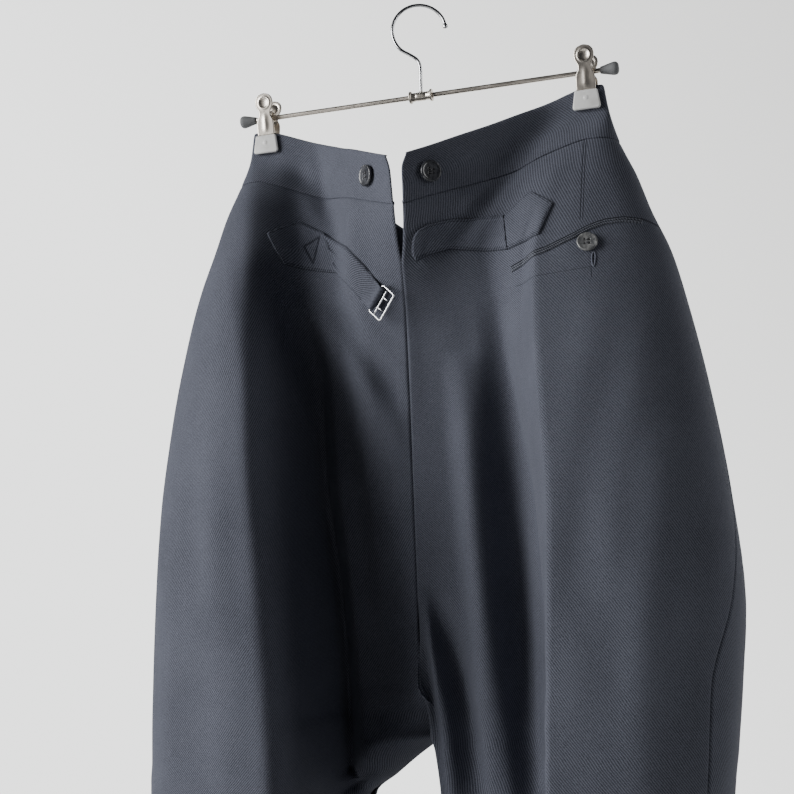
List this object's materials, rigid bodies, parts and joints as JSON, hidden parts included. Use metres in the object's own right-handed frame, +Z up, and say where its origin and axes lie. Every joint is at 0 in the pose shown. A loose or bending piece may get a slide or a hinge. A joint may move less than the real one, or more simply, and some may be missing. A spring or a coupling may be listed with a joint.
{
  "type": "high-waisted trousers on a clip hanger",
  "caption": "High-waisted, full-cut trousers with a notched back, brace buttons and a back cinch, hanging by the waist from a clip hanger; legs, hem and waist are open tubes.",
  "frame": {"origin": "inside of the top of the hanger's hook, where a rail carries it", "axes": "+Z up, +Y out of the trousers' back, +X to the wearer's left; the hanger's bar is along X"},
  "size_m": [0.4974, 0.1839, 1.1975],
  "materials": {
    "cloth": "charcoal wool twill, matt, with a soft nap",
    "horn": "dark horn-like resin, polished, with a paler rim",
    "smoke_horn": "smoke-grey marbled resin, polished",
    "chrome": "bright plated steel wire",
    "nickel": "nickel-plated steel, slightly warm",
    "vinyl": "white dipped vinyl, satin",
    "rubber": "grey moulded rubber, matt"
  },
  "bodies": {
    "root": {"back_left": "cloth", "front_left": "cloth", "waistband_left": "cloth", "back_right": "cloth", "front_right": "cloth", "waistband_right": "cloth", "patch_left": "cloth", "patch_right": "cloth", "strap_right": "cloth", "strap_left": "cloth", "pocket_welt": "cloth", "fly": "cloth", "brace_button_back_left": "horn", "brace_button_back_right": "horn", "pocket_button": "smoke_horn", "waist_button": "horn", "brace_button_front_left_inner": "horn", "brace_button_front_left_outer": "horn", "brace_button_front_right_inner": "horn", "brace_button_front_right_outer": "horn", "hanger_bar": "nickel", "hanger_collar": "nickel", "hanger_hook": "chrome", "clip_left_spring": "nickel", "clip_right_spring": "nickel", "hanger_tip_left": "rubber", "hanger_tip_right": "rubber", "clip_left_back": "nickel", "clip_left_front": "nickel", "clip_right_back": "nickel", "clip_right_front": "nickel", "pad_left_back": "vinyl", "pad_left_front": "vinyl", "pad_right_back": "vinyl", "pad_right_front": "vinyl"},
    "buckle": {"buckle_frame": "chrome", "buckle_prongs": "chrome"}
  },
  "joints": [
    {"name": "buckle_hinge", "type": "hinge", "parent": "root", "child": "buckle", "pos_m": [0.02974, 0.04585, -0.26558], "axis": [0.5999, -0.2521, -0.7594], "range_deg": [0, 135]}
  ]
}
